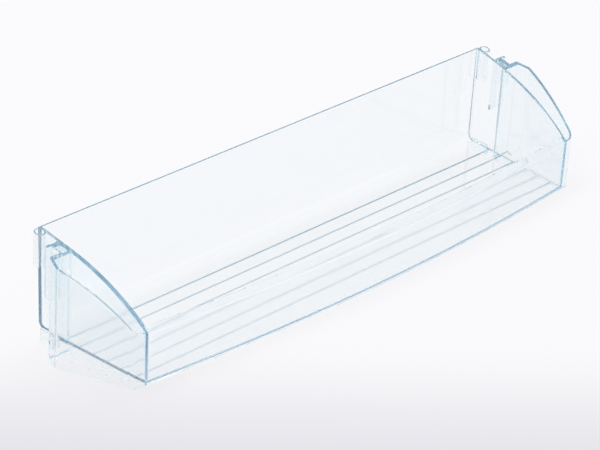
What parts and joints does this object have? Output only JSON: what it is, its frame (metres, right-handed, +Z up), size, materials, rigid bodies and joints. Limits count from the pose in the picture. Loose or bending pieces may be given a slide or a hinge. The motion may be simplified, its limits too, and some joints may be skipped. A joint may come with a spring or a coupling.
{
  "type": "refrigerator door shelf",
  "caption": "Clear light-blue moulded shelf with a tall back, a low bowed front and hollow end cheeks, hung on the inside of a refrigerator door by lug channels.",
  "frame": {"origin": "under the middle of the shelf, level with the lowest edge of its cheeks", "axes": "+X along the shelf, +Y towards the door it hangs on, +Z up as it hangs"},
  "size_m": [0.4922, 0.1153, 0.0875],
  "materials": {
    "clear_blue": "clear, polished, light blue"
  },
  "bodies": {
    "root": {"door_shelf": "clear_blue"}
  },
  "joints": []
}
